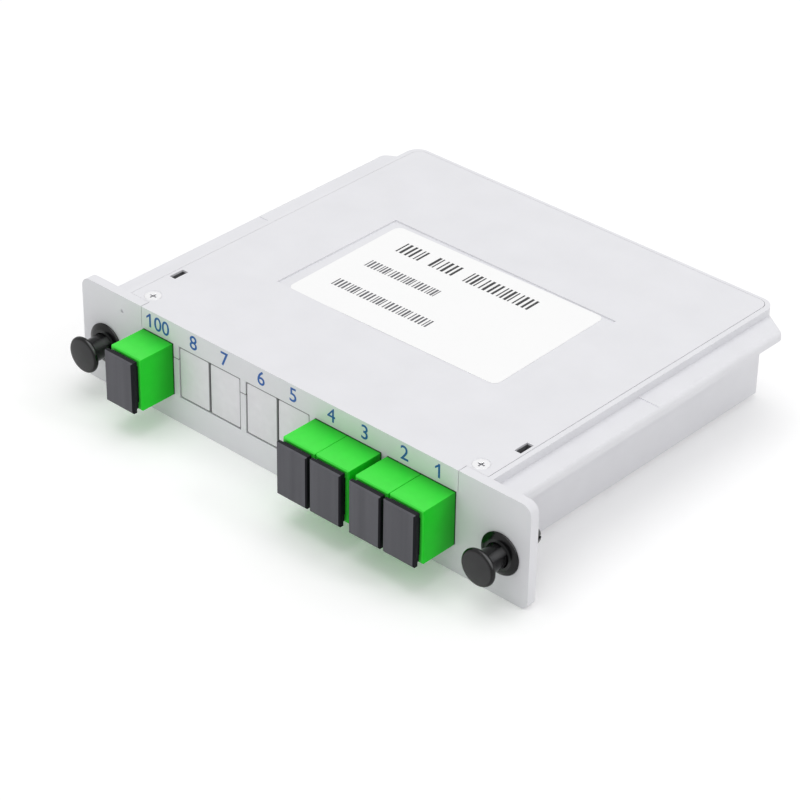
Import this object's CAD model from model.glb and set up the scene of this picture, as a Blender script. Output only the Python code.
"""Studio scene for the insert-card fibre splitter: finishes, printing and the turned latch parts.

Metres, in the part's own frame: X along the front panel, Y towards the rear, Z up.
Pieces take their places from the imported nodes, and everything else here is a finish,
a print or a light.
"""
import math

import bmesh
import bpy
from mathutils import Matrix, Quaternion, Vector


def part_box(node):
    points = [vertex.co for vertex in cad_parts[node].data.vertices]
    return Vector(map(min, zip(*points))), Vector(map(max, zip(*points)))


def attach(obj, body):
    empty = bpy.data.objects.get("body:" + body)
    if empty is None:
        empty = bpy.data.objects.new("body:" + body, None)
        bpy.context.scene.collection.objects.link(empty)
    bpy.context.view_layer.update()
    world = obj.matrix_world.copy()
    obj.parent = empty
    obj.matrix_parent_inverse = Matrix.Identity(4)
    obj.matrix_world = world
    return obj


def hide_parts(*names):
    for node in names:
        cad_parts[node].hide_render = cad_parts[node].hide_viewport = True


MM = 0.001
FRONT = -48.25 * MM
PORTS = ["input", "port_8", "port_7", "port_6", "port_5", "port_4", "port_3", "port_2", "port_1"]
COUPLED = ["input", "port_4", "port_3", "port_2", "port_1"]
BLANKED = ["port_8", "port_7", "port_6", "port_5"]
SIDES = ["left", "right"]

# Camera: where it looks, from how far, and at what angles in degrees
AIM = Vector((-6.2, -8.2, 0)) * MM
DISTANCE = 645.0 * MM
AZIMUTH = 42.07
ELEVATION = 32.65
ROLL = 0.93
LENS = 130.84
SENSOR = 36.0

# Light levels
SKY_LEVEL = 0.66
BACKDROP_LEVEL = 1.0
KEY_POWER = 1.95
KEY_PLACE = Vector((-0.08, -0.02, 0.80))
KEY_SIZE = 0.6
FILL_POWER = 0.45
FILL_PLACE = Vector((0.0, -0.9, 0.6))
FILL_SIZE = 0.8
RIM_POWER = 0.55
RIM_PLACE = Vector((0.55, 0.15, 0.50))
RIM_SIZE = 0.16
FLOOR_COLOUR = 0.94
FLOOR_LIFT = 0.13
FAR_LIFT = 0.42
NEAR_REACH = 0.20
FAR_REACH = 1.40
FLOOR_HALF = 6.0
FLOOR_DROP = 0.02 * MM

# Colours, as sRGB shares of one
SHELL = (0.895, 0.895, 0.91)
BLANK_SHELL = (0.905, 0.90, 0.915)
SHADE = (0.42, 0.42, 0.43)
SEAM = (0.50, 0.50, 0.51)
GREEN = (0.26, 0.90, 0.27)
SIDE_GREEN = (0.09, 0.83, 0.14)
DEEP_GREEN = (0.05, 0.64, 0.09)
SEAM_GREEN = (0.02, 0.26, 0.04)
CAP_SIDE = (0.09, 0.09, 0.11)
CAP_FACE = (0.37, 0.37, 0.39)
BLACK = (0.045, 0.045, 0.05)
SATIN_BLACK = (0.19, 0.19, 0.195)
RUBBED_BLACK = (0.34, 0.34, 0.345)
STEEL = (0.94, 0.94, 0.945)
DULL_STEEL = (0.74, 0.74, 0.75)
CERAMIC = (0.95, 0.94, 0.90)
ALUMINIUM = (0.72, 0.73, 0.75)
PAPER = (0.975, 0.975, 0.975)
BLUE_INK = (0.15, 0.37, 0.66)
DARK_INK = (0.16, 0.16, 0.17)
PALE_INK = (0.34, 0.34, 0.36)

# Where shading starts and ends along the part's axes, in mm
SLOT_LIMITS = [("Z", 24.55, 24.45), ("Z", 22.6, 22.7), ("Y", -38.3, -38.2), ("Y", -28.2, -28.3),
               ("X", -51.6, -51.5), ("X", 51.6, 51.5)]
STUB_JOINT = (16.5, 16.42)
SCREW_RECESS = (24.75, 24.6)

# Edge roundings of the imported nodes
TRAY_BEVEL = 0.15 * MM
COVER_BEVEL = 0.06 * MM
LABEL_BEVEL = 0.03 * MM
MODULE_BEVEL = 0.2 * MM
SCREW_BEVEL = 0.08 * MM
COUPLER_BEVEL = 0.15 * MM
SLEEVE_BEVEL = 0.05 * MM
CAP_BEVEL = 0.08 * MM
WELD_REACH = 0.0005 * MM
SAME_PLACE = 0.001 * MM

# Numerals over the ports
NUMERAL_SIZE = 4.85 * MM
NUMERAL_WEIGHT = 0.025 * MM
NUMERAL_MIDDLE = 22.3 * MM
NUMERAL_THICKNESS = 0.02 * MM
INPUT_NUMERAL = "100"
NUMERAL_STROKE = 0.5 * MM
FLAG_REACH = 0.85 * MM
FLAG_DROP = 0.95 * MM
FLAG_THICKNESS = 0.9 * NUMERAL_THICKNESS

# Blanking plates: how far the front block stands in from the box, and its hollow's wall
BLOCK_IN_ACROSS = 0.07 * MM
BLOCK_IN_UP = 1.32 * MM
BLOCK_CORNER = 0.5 * MM
BLOCK_EDGE = 0.3 * MM
COLLAR_THICKNESS = 1.6 * MM
HOLLOW_WALL = 1.3 * MM

# Printing on the label, in its own plane: start and end across, foot, height, groups, ink
LABEL_TILT = 1.25
PRINT_THICKNESS = 0.02 * MM
PRINT_ROWS = [
    (-23.0, 15.5, 9.5, 4.5, [3, 3, 8], "dark"),
    (-23.8, -3.0, 0.0, 3.0, [12], "pale"),
    (-23.8, 4.0, -10.9, 3.1, [15], "pale"),
]

# The two bars of a mark, as shares of its cell
BAR_WIDTHS = [(0.16, 0.30), (0.30, 0.14), (0.14, 0.22), (0.26, 0.26)]
BAR_OFFSETS = [(0.08, 0.50), (0.10, 0.62), (0.22, 0.58), (0.04, 0.52)]

# Latches, turned about their own axis
LATHE_STEPS = 72
EAR_BACK = FRONT + 2.4 * MM
HEAD_THICKNESS = 1.4 * MM
HEAD_RIM = 0.65 * MM
HEAD_CROWN = 0.22 * MM
HEAD_BACK_INSET = 0.9 * MM
NECK_RADIUS = 2.7 * MM
NECK_FILLET = 0.5 * MM
SHANK_ENTRY = 0.6 * MM
SHANK_CHAMFER = 0.3 * MM
PIN_RADIUS = 1.4 * MM
PIN_TIP_LENGTH = 0.5 * MM
PIN_TIP_INSET = 0.35 * MM
BORE_RADIUS = 2.8 * MM
BORE_CHAMFER = 0.1 * MM
BARREL_RADIUS = 3.6 * MM
BARREL_OVERRUN = 0.4 * MM
FLANGE_EDGE = 0.28 * MM
FLANGE_CREST = 3.1 * MM
FLANGE_FALL = 0.52 * MM
LEG_RADIUS = 3.4 * MM
LEG_ROOT = 0.3 * MM
LEG_STRAIGHT = 3.1 * MM
LEG_TIP_RADIUS = 2.3 * MM
LEG_END_RADIUS = 2.15 * MM
LEG_END_CHAMFER = 0.15 * MM
LEG_SHOULDER = 4.5 * MM
LEG_STEPS = 14
LEG_SLOT_HALF = 0.4 * MM
LEG_SLOT_TURN = 9.0
PIN_BORE_RADIUS = 1.5 * MM


def linear(share):
    """One sRGB share as a linear one."""
    return share / 12.92 if share <= 0.04045 else ((share + 0.055) / 1.055) ** 2.4


def rgba(colour):
    """An sRGB colour as the linear colour that a shader takes."""
    return (*[linear(share) for share in colour], 1.0)


def noise(nodes, link, place, grain, detail, squeeze=(1, 1, 1)):
    """A noise texture with grains of a given size, on object coordinates."""
    scaled = nodes.new("ShaderNodeMapping")
    scaled.inputs["Scale"].default_value = squeeze
    link(place.outputs["Object"], scaled.inputs["Vector"])
    texture = nodes.new("ShaderNodeTexNoise")
    texture.inputs["Scale"].default_value = 1 / grain
    texture.inputs["Detail"].default_value = detail
    link(scaled.outputs["Vector"], texture.inputs["Vector"])
    return texture.outputs["Fac"]


def uneven(nodes, link, factor, colour, mottle):
    """A colour that wanders a little to either side."""
    tint = nodes.new("ShaderNodeMix")
    tint.data_type = "RGBA"
    base = rgba(colour)
    tint.inputs["A"].default_value = (*[share * (1 - mottle) for share in base[:3]], 1)
    tint.inputs["B"].default_value = (*[min(1.0, share * (1 + mottle)) for share in base[:3]], 1)
    link(factor, tint.inputs["Factor"])
    return tint.outputs["Result"]


def ramp(nodes, link, source, start, end):
    """A number that goes smoothly from 0 to 1 as its source goes from start to end."""
    steps = nodes.new("ShaderNodeMapRange")
    steps.interpolation_type = "SMOOTHSTEP"
    steps.inputs["From Min"].default_value = start
    steps.inputs["From Max"].default_value = end
    link(source, steps.inputs["Value"])
    return steps.outputs["Result"]


def facing(nodes, link, place, way, start, end):
    """Share of a finish on the faces whose own normal points a given way on the part."""
    dot = nodes.new("ShaderNodeVectorMath")
    dot.operation = "DOT_PRODUCT"
    dot.inputs[1].default_value = way
    link(place.outputs["Normal"], dot.inputs[0])
    return ramp(nodes, link, dot.outputs["Value"], start, end)


def reaching(nodes, link, place, axis, start, end):
    """Share of a finish that rises from one place to another along an axis of the part."""
    parts = nodes.new("ShaderNodeSeparateXYZ")
    link(place.outputs["Object"], parts.inputs["Vector"])
    return ramp(nodes, link, parts.outputs[axis], start, end)


def both(nodes, link, first, second):
    """Share of a finish where two shares meet."""
    product = nodes.new("ShaderNodeMath")
    product.operation = "MULTIPLY"
    link(first, product.inputs[0])
    link(second, product.inputs[1])
    return product.outputs["Value"]


def moulded(name, colour, roughness, grain=0.6, grain_size=0.35, mottle=0.04, shine=0.5, metal=0.0,
            layers=()):
    """A material with fine grain, faint cloudy colour and uneven gloss, all on object coordinates.

    Each layer is a colour, the function that says where it lies, and how its clouds are squeezed.
    """
    material = bpy.data.materials.new(name)
    material.use_nodes = True
    nodes = material.node_tree.nodes
    link = material.node_tree.links.new
    shader = nodes["Principled BSDF"]
    shader.inputs["Metallic"].default_value = metal
    shader.inputs["Specular IOR Level"].default_value = shine
    place = nodes.new("ShaderNodeTexCoord")
    clouds = noise(nodes, link, place, 9 * MM, 3)
    result = uneven(nodes, link, clouds, colour, mottle)
    for layer_colour, share, squeeze in layers:
        lines = noise(nodes, link, place, 2.2 * MM, 2, squeeze)
        layer = nodes.new("ShaderNodeMix")
        layer.data_type = "RGBA"
        link(share(nodes, link, place), layer.inputs["Factor"])
        link(result, layer.inputs["A"])
        link(uneven(nodes, link, lines, layer_colour, 1.5 * mottle), layer.inputs["B"])
        result = layer.outputs["Result"]
    link(result, shader.inputs["Base Color"])
    gloss = nodes.new("ShaderNodeMapRange")
    gloss.inputs["To Min"].default_value = roughness * 0.88
    gloss.inputs["To Max"].default_value = min(1.0, roughness * 1.12)
    link(clouds, gloss.inputs["Value"])
    link(gloss.outputs["Result"], shader.inputs["Roughness"])
    bump = nodes.new("ShaderNodeBump")
    bump.inputs["Strength"].default_value = grain
    bump.inputs["Distance"].default_value = 0.01 * MM
    link(noise(nodes, link, place, grain_size * MM, 2), bump.inputs["Height"])
    link(bump.outputs["Normal"], shader.inputs["Normal"])
    return material


def front_face(nodes, link, place):
    """Faces that look forward."""
    return facing(nodes, link, place, (0, -1, 0), 0.90, 0.97)


def cap_front(nodes, link, place):
    """The front plate's face and its upper bevel."""
    return facing(nodes, link, place, (0, -0.85, 0.53), 0.70, 0.78)


def knob_front(nodes, link, place):
    """The flat of a knob's head."""
    return facing(nodes, link, place, (0, -1, 0), 0.955, 0.985)


def rubbed_rim(nodes, link, place):
    """The latches' upper right edges, rubbed by hands."""
    return facing(nodes, link, place, (0.62, -0.30, 0.72), 0.86, 0.98)


def green_depth(nodes, link, place):
    """From the panel to the couplers' mouths."""
    return reaching(nodes, link, place, "Y", FRONT + 1 * MM, FRONT - 8 * MM)


def green_top(nodes, link, place):
    """The couplers' tops and the lips of their mouths."""
    lit = facing(nodes, link, place, (0, -0.6, 0.8), 0.35, 0.72)
    return both(nodes, link, lit, reaching(nodes, link, place, "Y", FRONT + 4 * MM, FRONT - 9.5 * MM))


def green_seam(nodes, link, place):
    """The dark joint round each coupler where it enters the panel."""
    return reaching(nodes, link, place, "Y", FRONT - 0.4 * MM, FRONT - 0.2 * MM)


def stub_joint(nodes, link, place):
    """The joint where the cover's stubs meet the tray's uprights."""
    start, end = STUB_JOINT
    return reaching(nodes, link, place, "Z", start * MM, end * MM)


def recess_depth(nodes, link, place):
    """Down in the screws' cross recesses."""
    start, end = SCREW_RECESS
    return reaching(nodes, link, place, "Z", start * MM, end * MM)


def slot_depth(nodes, link, place):
    """Down in the cover's slots: below its top, inside the tray's rim and near the panel."""
    shares = [reaching(nodes, link, place, axis, start * MM, end * MM) for axis, start, end in SLOT_LIMITS]
    share = shares[0]
    for other in shares[1:]:
        share = both(nodes, link, share, other)
    return share


def make_materials():
    """Every finish on the part, by name."""
    even = (1, 1, 1)
    return {
        "shell": moulded("shell_plastic", SHELL, 0.46, layers=[(SHADE, slot_depth, even)]),
        "cover": moulded("cover_plastic", SHELL, 0.46,
                         layers=[(SHADE, slot_depth, even), (SEAM, stub_joint, even)]),
        "blank": moulded("blank_plastic", SEAM, 0.42, layers=[(BLANK_SHELL, front_face, even)]),
        "green": moulded("green_plastic", DEEP_GREEN, 0.30, grain=0.3, shine=0.2,
                         layers=[(SIDE_GREEN, green_depth, even), (GREEN, green_top, even),
                                 (SEAM_GREEN, green_seam, even)]),
        "cap": moulded("cap_plastic", CAP_SIDE, 0.5, grain=0.8, grain_size=0.25, mottle=0.15, shine=0.12,
                       layers=[(CAP_FACE, cap_front, (1, 1, 0.04))]),
        "latch": moulded("latch_nylon", BLACK, 0.20, grain=0.2, mottle=0.08, shine=0.3,
                         layers=[(SATIN_BLACK, knob_front, even), (RUBBED_BLACK, rubbed_rim, even)]),
        "steel": moulded("bright_steel", STEEL, 0.24, grain=0.2, metal=1.0,
                         layers=[(DULL_STEEL, recess_depth, even)]),
        "ceramic": moulded("white_ceramic", CERAMIC, 0.2, grain=0.1, mottle=0.02),
        "metal": moulded("brushed_aluminium", ALUMINIUM, 0.35, grain=0.5, metal=1.0),
        "paper": moulded("label_film", PAPER, 0.4, grain=0.25, grain_size=0.6, mottle=0.008),
        "blue": moulded("blue_ink", BLUE_INK, 0.55, grain=0.3, mottle=0.12),
        "dark": moulded("dark_ink", DARK_INK, 0.6, grain=0.3, mottle=0.15),
        "pale": moulded("pale_ink", PALE_INK, 0.6, grain=0.3, mottle=0.15),
    }


def finish_node(node, material, radius):
    """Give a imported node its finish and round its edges."""
    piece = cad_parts[node]
    piece.data.materials.clear()
    piece.data.materials.append(material)
    for face in piece.data.polygons:
        face.use_smooth = True
    weld = piece.modifiers.new("weld", "WELD")
    weld.merge_threshold = WELD_REACH
    flat = piece.modifiers.new("flat", "DECIMATE")
    flat.decimate_type = "DISSOLVE"
    flat.angle_limit = math.radians(0.5)
    bevel = piece.modifiers.new("bevel", "BEVEL")
    bevel.width = radius
    bevel.segments = 2
    bevel.limit_method = "ANGLE"
    bevel.angle_limit = math.radians(30)
    weighted = piece.modifiers.new("weighted", "WEIGHTED_NORMAL")
    weighted.mode = "FACE_AREA"
    weighted.keep_sharp = False


def finish_nodes(finishes):
    """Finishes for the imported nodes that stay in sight."""
    finish_node("base_tray", finishes["shell"], TRAY_BEVEL)
    finish_node("top_cover", finishes["cover"], COVER_BEVEL)
    finish_node("label", finishes["paper"], LABEL_BEVEL)
    finish_node("splitter_module", finishes["metal"], MODULE_BEVEL)
    for side in SIDES:
        finish_node(f"cover_screw_{side}", finishes["steel"], SCREW_BEVEL)
    for port in COUPLED:
        finish_node(f"coupler_{port}", finishes["green"], COUPLER_BEVEL)
        finish_node(f"sleeve_{port}", finishes["ceramic"], SLEEVE_BEVEL)
        finish_node(f"dust_cap_{port}", finishes["cap"], CAP_BEVEL)


def middle(node):
    """Middle of a node's box."""
    low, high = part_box(node)
    return (low + high) / 2


def swept(build, profile, start, turn, steps, looped):
    """Sweep a profile of (radius, along) pairs about the Y axis into a closed skin."""
    whole = turn > 2 * math.pi - 1e-6
    count = steps if whole else steps + 1
    rings = []
    for step in range(count):
        angle = start + turn * step / steps
        ring = []
        for radius, along in profile:
            if radius == 0 and rings:
                ring.append(rings[0][len(ring)])
            else:
                place = (radius * math.cos(angle), along, radius * math.sin(angle))
                ring.append(build.verts.new(place))
        rings.append(ring)
    spans = len(profile) if looped else len(profile) - 1
    for step in range(steps):
        here = rings[step]
        there = rings[(step + 1) % count]
        for span in range(spans):
            after = (span + 1) % len(profile)
            corners = [here[span], here[after], there[after], there[span]]
            kept = []
            for corner in corners:
                if corner not in kept:
                    kept.append(corner)
            if len(kept) > 2:
                build.faces.new(kept)
    if not whole:
        build.faces.new(rings[0])
        build.faces.new(list(reversed(rings[-1])))


def add_piece(name, build, material, body, place=Vector(), stands_for=(), sharp=40):
    """Turn a finished bmesh into a piece that rides on a body."""
    bmesh.ops.recalc_face_normals(build, faces=build.faces)
    mesh = bpy.data.meshes.new(name)
    build.to_mesh(mesh)
    build.free()
    mesh.materials.append(material)
    mesh.shade_smooth()
    mesh.set_sharp_from_angle(angle=math.radians(sharp))
    piece = bpy.data.objects.new(name, mesh)
    bpy.context.scene.collection.objects.link(piece)
    piece.location = place
    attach(piece, body)
    if stands_for:
        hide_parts(*stands_for)
    return piece


def arc(centre, radius, start, end, steps):
    """Points (radius, along) on an arc of a profile, with angles in degrees from outwards to rearwards."""
    points = []
    for step in range(steps + 1):
        angle = math.radians(start + (end - start) * step / steps)
        points.append((centre[0] + radius * math.cos(angle), centre[1] + radius * math.sin(angle)))
    return points


def lofted(build, rings):
    """Join rounded rectangles (along, half width, half height, corner) into a closed skin."""
    loops = []
    for along, half_width, half_height, corner in rings:
        loop = []
        for turn, (across, up) in enumerate([(1, 1), (-1, 1), (-1, -1), (1, -1)]):
            for step in range(5):
                angle = math.radians(90 * turn + 22.5 * step)
                x = across * (half_width - corner) + corner * math.cos(angle)
                z = up * (half_height - corner) + corner * math.sin(angle)
                loop.append(build.verts.new((x, along, z)))
        loops.append(loop)
    for here, there in zip(loops, loops[1:]):
        count = len(here)
        for index in range(count):
            after = (index + 1) % count
            build.faces.new([here[index], here[after], there[after], there[index]])
    build.faces.new(loops[0])
    build.faces.new(list(reversed(loops[-1])))


def make_blank(port, finishes):
    """Blanking plate: front block with soft edges and corners, collar and hollow back."""
    node = f"blank_{port}"
    low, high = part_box(node)
    wide, tall = (high.x - low.x) / 2, (high.z - low.z) / 2
    block_wide, block_tall = wide - BLOCK_IN_ACROSS, tall - BLOCK_IN_UP
    hollow_wide, hollow_tall = block_wide - HOLLOW_WALL, block_tall - HOLLOW_WALL
    collar = high.y - COLLAR_THICKNESS
    rings = [(low.y + HOLLOW_WALL, hollow_wide, hollow_tall, BLOCK_EDGE),
             (high.y, hollow_wide, hollow_tall, BLOCK_EDGE),
             (high.y, wide, tall, BLOCK_CORNER),
             (collar, wide, tall, BLOCK_CORNER),
             (collar, block_wide, block_tall, BLOCK_CORNER),
             (low.y + BLOCK_EDGE, block_wide, block_tall, BLOCK_CORNER)]
    for angle in (45, 90):
        inset = BLOCK_EDGE * (1 - math.cos(math.radians(angle)))
        along = low.y + BLOCK_EDGE * (1 - math.sin(math.radians(angle)))
        rings.append((along, block_wide - inset, block_tall - inset, BLOCK_CORNER - inset / 2))
    build = bmesh.new()
    lofted(build, rings)
    centre = Vector((middle(node).x, 0, middle(node).z))
    add_piece(f"blank_plate_{port}", build, finishes["blank"], "cassette", centre, [node], 50)


def make_plunger(side, finishes):
    """Latch plunger: crowned head with a round rim, waisted neck and blunt pin."""
    node = f"latch_plunger_{side}"
    low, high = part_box(node)
    head = (high.x - low.x) / 2
    front = low.y
    head_back = front + HEAD_THICKNESS
    shank_end = FRONT - SHANK_ENTRY
    flat = head - HEAD_RIM
    profile = [(0, front)]
    for share in (0.35, 0.65, 0.85):
        profile.append((share * flat, front + HEAD_CROWN * share ** 2))
    profile += arc((flat, front + HEAD_CROWN + HEAD_RIM), HEAD_RIM, -80, 60, 8)
    profile.append((head - HEAD_BACK_INSET, head_back))
    profile += arc((NECK_RADIUS + NECK_FILLET, head_back + NECK_FILLET), NECK_FILLET, -90, -180, 5)
    profile.append((NECK_RADIUS, shank_end - SHANK_CHAMFER))
    profile += [(NECK_RADIUS - SHANK_CHAMFER, shank_end), (PIN_RADIUS, shank_end)]
    profile += [(PIN_RADIUS, high.y - PIN_TIP_LENGTH), (PIN_RADIUS - PIN_TIP_INSET, high.y), (0, high.y)]
    build = bmesh.new()
    swept(build, profile, 0, 2 * math.pi, LATHE_STEPS, looped=False)
    centre = Vector((middle(node).x, 0, middle(node).z))
    add_piece(f"knob_{side}", build, finishes["latch"], node, centre, [node])


def make_grommet(side, finishes):
    """Latch grommet: crowned flange with a round rim, barrel and four tapered legs."""
    node = f"latch_grommet_{side}"
    low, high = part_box(node)
    rim = (high.x - low.x) / 2
    front = low.y
    barrel_end = EAR_BACK + BARREL_OVERRUN
    profile = [(BORE_RADIUS, front + BORE_CHAMFER), (BORE_RADIUS + BORE_CHAMFER, front)]
    for share in (0.0, 0.25, 0.5, 0.75, 1.0):
        radius = FLANGE_CREST + share * (rim - FLANGE_EDGE - FLANGE_CREST)
        profile.append((radius, front + FLANGE_FALL * share ** 1.6))
    profile += arc((rim - FLANGE_EDGE, FRONT - FLANGE_EDGE), FLANGE_EDGE, -45, 90, 5)
    profile += [(BARREL_RADIUS, FRONT), (BARREL_RADIUS, barrel_end), (BORE_RADIUS, barrel_end)]
    build = bmesh.new()
    swept(build, profile, 0, 2 * math.pi, LATHE_STEPS, looped=True)
    leg_start = EAR_BACK + LEG_ROOT
    shoulder = FRONT + LEG_SHOULDER
    section = [(BORE_RADIUS, leg_start), (LEG_RADIUS, leg_start), (LEG_RADIUS, EAR_BACK + LEG_STRAIGHT),
               (LEG_TIP_RADIUS, high.y - LEG_END_CHAMFER), (LEG_END_RADIUS, high.y),
               (PIN_BORE_RADIUS, high.y), (PIN_BORE_RADIUS, shoulder), (BORE_RADIUS, shoulder)]
    gap = math.asin(LEG_SLOT_HALF / LEG_RADIUS)
    for quarter in range(4):
        start = quarter * math.pi / 2 + math.radians(LEG_SLOT_TURN) + gap
        swept(build, section, start, math.pi / 2 - 2 * gap, LEG_STEPS, looped=True)
    centre = Vector((middle(node).x, 0, middle(node).z))
    add_piece(f"flange_{side}", build, finishes["latch"], "cassette", centre, [node])


def add_block(build, low, high):
    """A closed box between two corners."""
    corners = []
    for z in (low.z, high.z):
        for x, y in ((low.x, low.y), (high.x, low.y), (high.x, high.y), (low.x, high.y)):
            corners.append(build.verts.new((x, y, z)))
    sides = [(0, 3, 2, 1), (4, 5, 6, 7), (0, 1, 5, 4), (1, 2, 6, 5), (2, 3, 7, 6), (3, 0, 4, 7)]
    for side in sides:
        build.faces.new([corners[index] for index in side])


def make_print(finishes):
    """Rows of upright bars on the label, grouped as plain code marks."""
    low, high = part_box("label")
    centre = (low + high) / 2
    for number, (start, end, foot, height, groups, ink) in enumerate(PRINT_ROWS, start=1):
        build = bmesh.new()
        cells = sum(groups) + len(groups) - 1
        cell = (end - start) / cells
        across = start
        mark = 0
        for count in groups:
            for _ in range(count):
                widths = BAR_WIDTHS[mark * 3 % len(BAR_WIDTHS)]
                offsets = BAR_OFFSETS[mark * 5 % len(BAR_OFFSETS)]
                for width, offset in zip(widths, offsets):
                    left = across + offset * cell
                    add_block(build, Vector((left, foot, 0)) * MM,
                              Vector((left + width * cell, foot + height, PRINT_THICKNESS / MM)) * MM)
                across += cell
                mark += 1
            across += cell
        bmesh.ops.rotate(build, verts=build.verts, matrix=Matrix.Rotation(math.radians(LABEL_TILT), 3, "Z"))
        place = Vector((centre.x, centre.y, high.z))
        add_piece(f"label_print_{number}", build, finishes[ink], "cassette", place)


def add_flag(build):
    """The short slanted stroke at the top of a leading 1."""
    left = min(corner.co.x for corner in build.verts)
    top = max(corner.co.y for corner in build.verts)
    root = left + NUMERAL_STROKE / 2
    tip = left - FLAG_REACH
    outline = [(root, top), (tip, top - FLAG_DROP), (tip, top - FLAG_DROP - NUMERAL_STROKE),
               (root, top - 1.2 * NUMERAL_STROKE)]
    back = [build.verts.new((x, y, -FLAG_THICKNESS)) for x, y in outline]
    front = [build.verts.new((x, y, FLAG_THICKNESS)) for x, y in outline]
    build.faces.new(back)
    build.faces.new(list(reversed(front)))
    for index in range(4):
        after = (index + 1) % 4
        build.faces.new([back[index], front[index], front[after], back[after]])


def make_numeral(name, text, across, finishes):
    """A printed numeral on the panel's front, as a thin closed mesh."""
    curve = bpy.data.curves.new(name, "FONT")
    curve.body = text
    curve.size = NUMERAL_SIZE
    curve.offset = 0 if "4" in text else NUMERAL_WEIGHT
    curve.align_x = "CENTER"
    curve.align_y = "CENTER"
    curve.extrude = NUMERAL_THICKNESS
    holder = bpy.data.objects.new(name + "_text", curve)
    bpy.context.scene.collection.objects.link(holder)
    bpy.context.view_layer.update()
    mesh = bpy.data.meshes.new_from_object(holder.evaluated_get(bpy.context.evaluated_depsgraph_get()))
    bpy.data.objects.remove(holder)
    build = bmesh.new()
    build.from_mesh(mesh)
    bmesh.ops.remove_doubles(build, verts=build.verts, dist=SAME_PLACE)
    if text[0] == "1":
        add_flag(build)
    bmesh.ops.rotate(build, verts=build.verts, matrix=Matrix.Rotation(math.pi / 2, 3, "X"))
    place = Vector((across, FRONT - NUMERAL_THICKNESS, NUMERAL_MIDDLE))
    add_piece(name, build, finishes["blue"], "cassette", place)


def make_numerals(finishes):
    """The port numbers in a row over the windows."""
    for port in PORTS:
        node = f"coupler_{port}" if port in COUPLED else f"blank_{port}"
        text = INPUT_NUMERAL if port == "input" else port[-1]
        make_numeral(f"numeral_{port}", text, middle(node).x, finishes)


def make_floor():
    """A pale floor that shows white to the camera and keeps the shadow."""
    build = bmesh.new()
    bmesh.ops.create_grid(build, x_segments=1, y_segments=1, size=FLOOR_HALF)
    mesh = bpy.data.meshes.new("floor")
    build.to_mesh(mesh)
    build.free()
    material = bpy.data.materials.new("white_floor")
    material.use_nodes = True
    nodes = material.node_tree.nodes
    link = material.node_tree.links.new
    shader = nodes["Principled BSDF"]
    shader.inputs["Base Color"].default_value = (FLOOR_COLOUR, FLOOR_COLOUR, FLOOR_COLOUR, 1)
    shader.inputs["Roughness"].default_value = 0.9
    shader.inputs["Specular IOR Level"].default_value = 0.1
    shader.inputs["Emission Color"].default_value = (1, 1, 1, 1)
    place = nodes.new("ShaderNodeTexCoord")
    reach = nodes.new("ShaderNodeVectorMath")
    reach.operation = "LENGTH"
    link(place.outputs["Object"], reach.inputs[0])
    lift = nodes.new("ShaderNodeMapRange")
    lift.inputs["To Min"].default_value = FLOOR_LIFT
    lift.inputs["To Max"].default_value = FAR_LIFT
    link(ramp(nodes, link, reach.outputs["Value"], NEAR_REACH, FAR_REACH), lift.inputs["Value"])
    rays = nodes.new("ShaderNodeLightPath")
    seen = both(nodes, link, rays.outputs["Is Camera Ray"], lift.outputs["Result"])
    link(seen, shader.inputs["Emission Strength"])
    mesh.materials.append(material)
    floor = bpy.data.objects.new("floor", mesh)
    bpy.context.scene.collection.objects.link(floor)
    floor.location.z = -FLOOR_DROP


def make_world():
    """Even pale light all round, and plain white where the camera or a gloss sees it."""
    world = bpy.data.worlds.new("studio")
    bpy.context.scene.world = world
    world.use_nodes = True
    nodes = world.node_tree.nodes
    link = world.node_tree.links.new
    shader = nodes["Background"]
    shader.inputs["Color"].default_value = (1, 1, 1, 1)
    rays = nodes.new("ShaderNodeLightPath")
    seen = nodes.new("ShaderNodeMath")
    seen.operation = "MAXIMUM"
    link(rays.outputs["Is Camera Ray"], seen.inputs[0])
    link(rays.outputs["Is Transmission Ray"], seen.inputs[1])
    shown = nodes.new("ShaderNodeMath")
    shown.operation = "MAXIMUM"
    link(seen.outputs["Value"], shown.inputs[0])
    link(rays.outputs["Is Glossy Ray"], shown.inputs[1])
    level = nodes.new("ShaderNodeMapRange")
    level.inputs["To Min"].default_value = SKY_LEVEL
    level.inputs["To Max"].default_value = BACKDROP_LEVEL
    link(shown.outputs["Value"], level.inputs["Value"])
    link(level.outputs["Result"], shader.inputs["Strength"])


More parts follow.
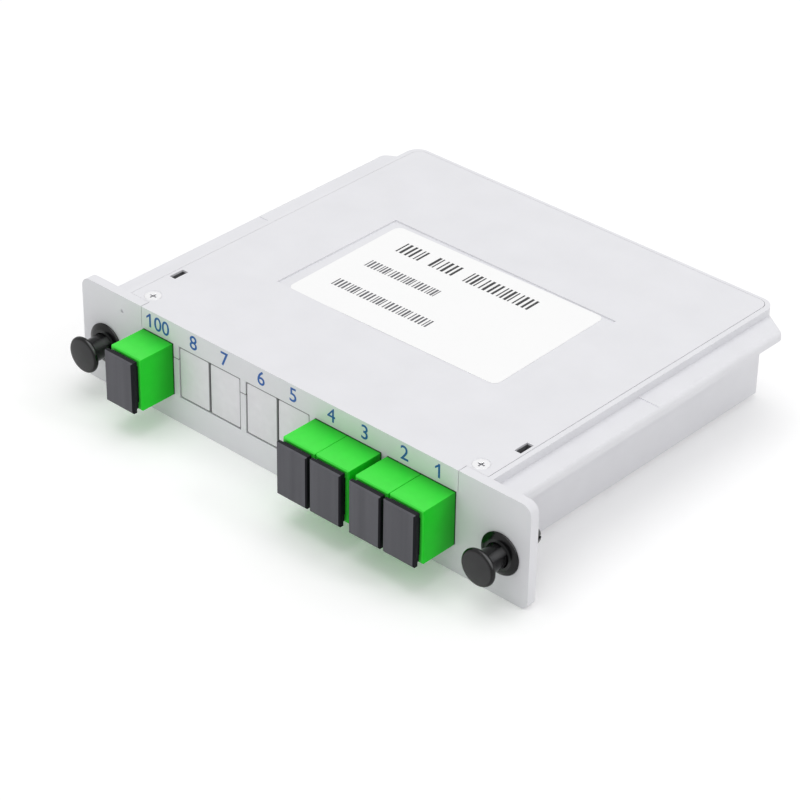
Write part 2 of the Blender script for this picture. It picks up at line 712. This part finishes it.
def make_lamp(name, place, size, power, aim):
    """A square soft box turned towards a point."""
    lamp = bpy.data.lights.new(name, "AREA")
    lamp.shape = "SQUARE"
    lamp.size = size
    lamp.energy = power
    holder = bpy.data.objects.new(name, lamp)
    bpy.context.scene.collection.objects.link(holder)
    holder.location = place
    holder.rotation_euler = (aim - place).to_track_quat("-Z", "Y").to_euler()


def make_camera():
    """The camera, placed by its aim, distance and angles."""
    turn = math.radians(AZIMUTH)
    rise = math.radians(ELEVATION)
    back = Vector((math.sin(turn) * math.cos(rise), -math.cos(turn) * math.cos(rise), math.sin(rise)))
    camera = bpy.data.cameras.new("camera")
    camera.lens = LENS
    camera.sensor_width = SENSOR
    camera.clip_start = 0.01
    camera.clip_end = 50
    holder = bpy.data.objects.new("camera", camera)
    bpy.context.scene.collection.objects.link(holder)
    holder.location = AIM + back * DISTANCE
    holder.rotation_mode = "QUATERNION"
    look = (-back).to_track_quat("-Z", "Y")
    holder.rotation_quaternion = look @ Quaternion((0, 0, 1), math.radians(ROLL))
    bpy.context.scene.camera = holder


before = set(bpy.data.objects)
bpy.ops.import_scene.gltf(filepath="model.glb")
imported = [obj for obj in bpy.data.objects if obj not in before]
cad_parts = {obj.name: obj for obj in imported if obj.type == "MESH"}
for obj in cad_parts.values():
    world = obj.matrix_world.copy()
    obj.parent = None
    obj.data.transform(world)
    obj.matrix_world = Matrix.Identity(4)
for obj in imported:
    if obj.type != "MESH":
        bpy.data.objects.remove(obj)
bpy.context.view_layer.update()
bpy.context.scene.view_settings.view_transform = "Standard"
finishes = make_materials()
finish_nodes(finishes)
for side_name in SIDES:
    make_plunger(side_name, finishes)
    make_grommet(side_name, finishes)
for port_name in BLANKED:
    make_blank(port_name, finishes)
make_numerals(finishes)
make_print(finishes)
make_floor()
make_world()
make_lamp("key", KEY_PLACE, KEY_SIZE, KEY_POWER, Vector())
make_lamp("fill", FILL_PLACE, FILL_SIZE, FILL_POWER, Vector())
make_lamp("rim", RIM_PLACE, RIM_SIZE, RIM_POWER, Vector())
make_camera()
